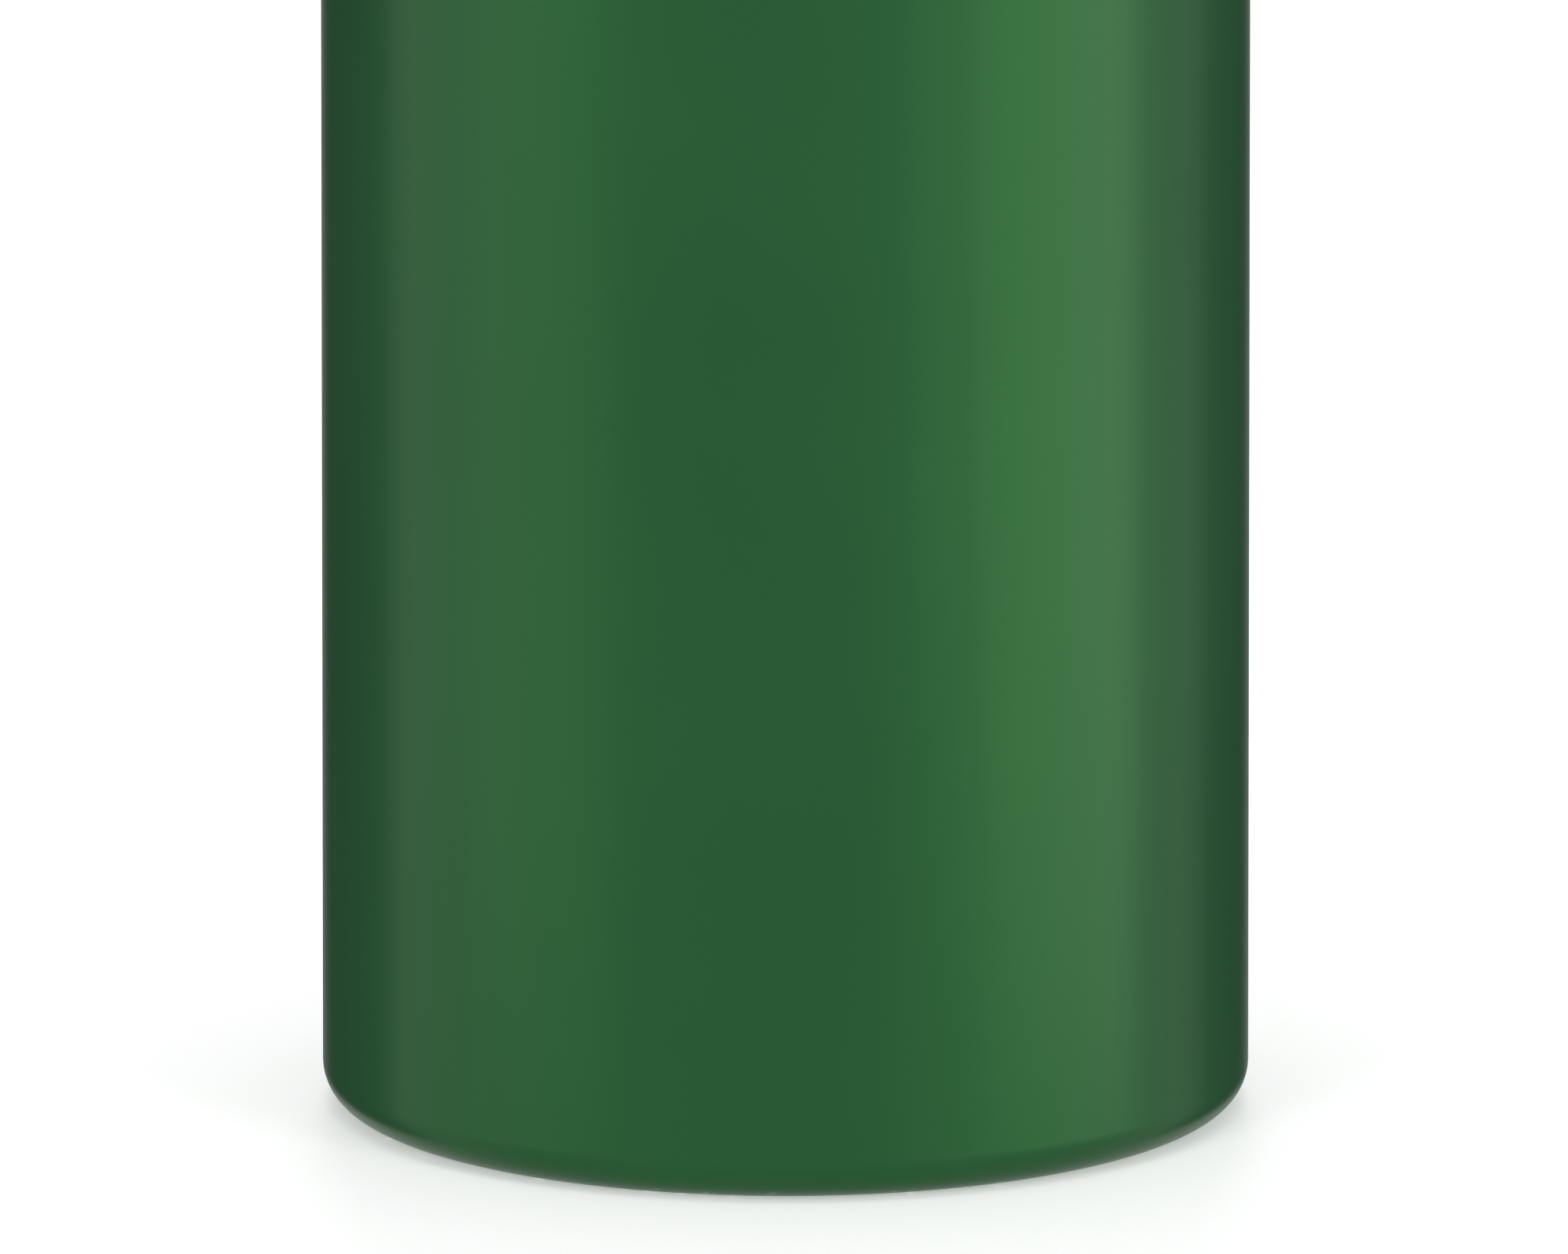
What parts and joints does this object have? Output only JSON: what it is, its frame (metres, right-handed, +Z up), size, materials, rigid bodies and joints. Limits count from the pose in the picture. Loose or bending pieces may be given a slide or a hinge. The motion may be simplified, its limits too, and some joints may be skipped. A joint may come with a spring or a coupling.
{
  "type": "oxygen cylinder",
  "caption": "Small green medical oxygen cylinder with a flat base, domed shoulder, pin-index post valve, toggle lever, relief plug and pull-off dust cap.",
  "frame": {"origin": "centre of the base, on the surface that the cylinder stands on", "axes": "+Z up along the cylinder's axis; the valve's outlet and pin-index holes face -Y, the relief plug faces +Y; +X to the right seen from the front"},
  "size_m": [0.1112, 0.1112, 0.7328],
  "materials": {
    "shell_paint": "satin",
    "valve_chrome": "satin",
    "brass": "satin",
    "toggle_metal": "satin",
    "steel": "satin",
    "seal_rubber": "matte",
    "nylon": "matte",
    "copper": "satin",
    "fusible_metal": "matte",
    "cap_plastic": "satin"
  },
  "bodies": {
    "shell_and_valve": {"cylinder_shell": "shell_paint", "neck_o_ring": "seal_rubber", "valve_body": "valve_chrome", "anti_debris_tube": "brass", "gland_nut": "valve_chrome", "gland_o_ring": "seal_rubber", "stem_o_ring": "seal_rubber", "thrust_washer": "nylon", "relief_plug": "brass", "relief_gasket": "copper", "burst_disc": "copper", "fusible_slug": "fusible_metal"},
    "spindle": {"upper_stem": "brass", "toggle_lever": "toggle_metal", "toggle_washer": "steel", "toggle_screw": "steel"},
    "plug": {"seat_plug": "brass", "seat_disc": "nylon"},
    "cap": {"dust_cap": "cap_plastic", "outlet_washer_ring": "brass", "outlet_washer_seal": "seal_rubber"}
  },
  "joints": [
    {"name": "toggle_turn", "type": "hinge", "parent": "shell_and_valve", "child": "spindle", "pos_m": [0, 0, 0.7102], "axis": [0, 0, 1], "range_deg": [0, 540]},
    {"name": "plug_lift", "type": "slide", "parent": "spindle", "child": "plug", "axis": [0, 0, 1], "range_m": [0, 0.00212]},
    {"name": "dust_cap_pull", "type": "slide", "parent": "shell_and_valve", "child": "cap", "axis": [0, -1, 0], "range_m": [0, 0.05]}
  ],
  "couplings": [
    {"joint": "plug_lift", "follows": "toggle_turn", "m_per_rad": 0.00022457}
  ]
}
